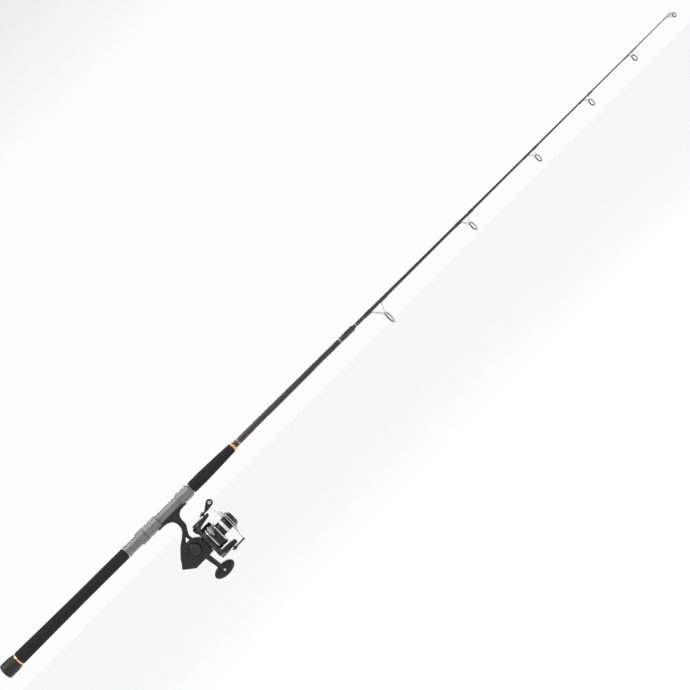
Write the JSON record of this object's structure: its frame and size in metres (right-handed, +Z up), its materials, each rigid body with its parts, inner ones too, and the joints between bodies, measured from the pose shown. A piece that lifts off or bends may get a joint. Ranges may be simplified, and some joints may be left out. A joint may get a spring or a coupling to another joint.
{
  "type": "fishing rod and reel",
  "caption": "Two-piece spinning rod with foam grips, ringed line guides and a fixed-spool reel with crank handle, bail and drag knob clamped in its seat.",
  "frame": {"origin": "centre of the flat end of the butt cap, on the rod's axis", "axes": "+X along the rod from butt to tip, +Z up, away from the reel and guides, +Y on the crank side"},
  "size_m": [2.1264, 0.1306, 0.2058],
  "materials": {
    "eva_foam": "matte closed-cell foam",
    "cap_rubber": "satin",
    "copper_trim": "polished",
    "blank_gloss": "semi-gloss dark brown over graphite",
    "wrap_varnish": "glossy varnish over thread",
    "seat_grey": "satin",
    "guide_steel": "polished",
    "guide_ceramic": "polished ceramic",
    "reel_black": "satin graphite-filled",
    "handle_grey": "satin",
    "knob_rubber": "soft-touch satin",
    "spool_anodised": "black anodised, bright-cut edges",
    "bright_steel": "polished",
    "dark_screw": "blackened",
    "gear_metal": "machined zinc",
    "brass": "machined",
    "band_white": "satin",
    "washer_felt": "oiled felt and steel",
    "click_plastic": "satin"
  },
  "bodies": {
    "rod": {"blank_butt": "blank_gloss", "butt_cap": "cap_rubber", "accent_ring": "copper_trim", "butt_grip": "eva_foam", "reel_seat": "seat_grey", "foregrip": "eva_foam", "winding_check": "copper_trim", "ferrule_wrap": "wrap_varnish", "reel_body": "reel_black", "side_cover": "reel_black", "cover_screws": "dark_screw", "side_cap": "reel_black", "crank_bearings": "bright_steel", "pinion_bearing": "bright_steel", "anti_reverse_clutch": "bright_steel", "oscillation_post": "bright_steel"},
    "tip_section": {"blank_tip": "blank_gloss", "guide_wraps": "wrap_varnish", "guide_frame_1": "guide_steel", "guide_frame_2": "guide_steel", "guide_frame_3": "guide_steel", "guide_frame_4": "guide_steel", "guide_frame_5": "guide_steel", "guide_ring_1": "guide_ceramic", "guide_ring_2": "guide_ceramic", "guide_ring_3": "guide_ceramic", "guide_ring_4": "guide_ceramic", "guide_ring_5": "guide_ceramic", "tip_top_frame": "guide_steel", "tip_top_ring": "guide_ceramic"},
    "seat_hood": {"seat_hood": "seat_grey"},
    "lock_nut": {"lock_nut": "seat_grey"},
    "crank": {"drive_gear": "gear_metal", "drive_shaft": "bright_steel", "handle_shank": "handle_grey", "handle_arm": "handle_grey", "knob_post": "bright_steel"},
    "handle_knob": {"handle_knob": "knob_rubber", "knob_inlay": "knob_rubber"},
    "oscillation_gear": {"oscillation_gear": "gear_metal"},
    "main_shaft": {"main_shaft": "bright_steel", "slider_block": "gear_metal"},
    "rotor": {"rotor": "reel_black", "pinion": "brass", "rotor_nut": "brass", "arm_covers": "reel_black", "bail_spring": "bright_steel", "pivot_screws": "dark_screw"},
    "bail": {"bail_arm": "reel_black", "bail_lever": "reel_black", "bail_wire": "bright_steel", "roller_pin": "bright_steel", "roller_dome": "reel_black"},
    "line_roller": {"line_roller": "bright_steel"},
    "spool": {"spool": "spool_anodised", "click_gear": "click_plastic", "spool_band": "band_white", "drag_washers": "washer_felt"},
    "drag_knob": {"drag_knob": "reel_black", "drag_nut": "brass"}
  },
  "joints": [
    {"name": "ferrule_slide", "type": "slide", "parent": "rod", "child": "tip_section", "axis": [1, 0, 0], "range_m": [0, 0.07]},
    {"name": "hood_slide", "type": "slide", "parent": "rod", "child": "seat_hood", "axis": [-1, 0, 0], "range_m": [0, 0.02]},
    {"name": "lock_nut_turn", "type": "hinge", "parent": "seat_hood", "child": "lock_nut", "pos_m": [0.372, 0, 0], "axis": [1, 0, 0], "range_deg": [0, 3270]},
    {"name": "crank_turn", "type": "hinge", "parent": "rod", "child": "crank", "pos_m": [0.43, 0, -0.0961], "axis": [0, 1, 0], "continuous": true},
    {"name": "knob_spin", "type": "hinge", "parent": "crank", "child": "handle_knob", "pos_m": [0.44113, 0, -0.17532], "axis": [0, 1, 0], "continuous": true},
    {"name": "rotor_spin", "type": "hinge", "parent": "rod", "child": "rotor", "pos_m": [0.46, 0, -0.1046], "axis": [1, 0, 0], "continuous": true},
    {"name": "oscillation_spin", "type": "hinge", "parent": "rod", "child": "oscillation_gear", "pos_m": [0.413, 0, -0.10202], "axis": [0, 1, 0], "continuous": true},
    {"name": "spool_stroke", "type": "slide", "parent": "rod", "child": "main_shaft", "axis": [1, 0, 0], "range_m": [0, 0.016]},
    {"name": "spool_slip", "type": "hinge", "parent": "main_shaft", "child": "spool", "pos_m": [0.5, 0, -0.1046], "axis": [1, 0, 0], "continuous": true},
    {"name": "drag_turn", "type": "hinge", "parent": "main_shaft", "child": "drag_knob", "pos_m": [0.525, 0, -0.1046], "axis": [1, 0, 0], "range_deg": [-360, 360]},
    {"name": "bail_flip", "type": "hinge", "parent": "rotor", "child": "bail", "pos_m": [0.4902, 0, -0.1046], "axis": [0, 0, -1], "range_deg": [0, 110]},
    {"name": "line_roller_spin", "type": "hinge", "parent": "bail", "child": "line_roller", "pos_m": [0.517, 0, -0.0481], "axis": [0, 1, 0], "continuous": true}
  ],
  "couplings": [
    {"joint": "hood_slide", "follows": "lock_nut_turn", "m_per_rad": 0.00035014},
    {"joint": "rotor_spin", "follows": "crank_turn", "ratio": -5.625},
    {"joint": "oscillation_spin", "follows": "crank_turn", "ratio": -0.5}
  ]
}
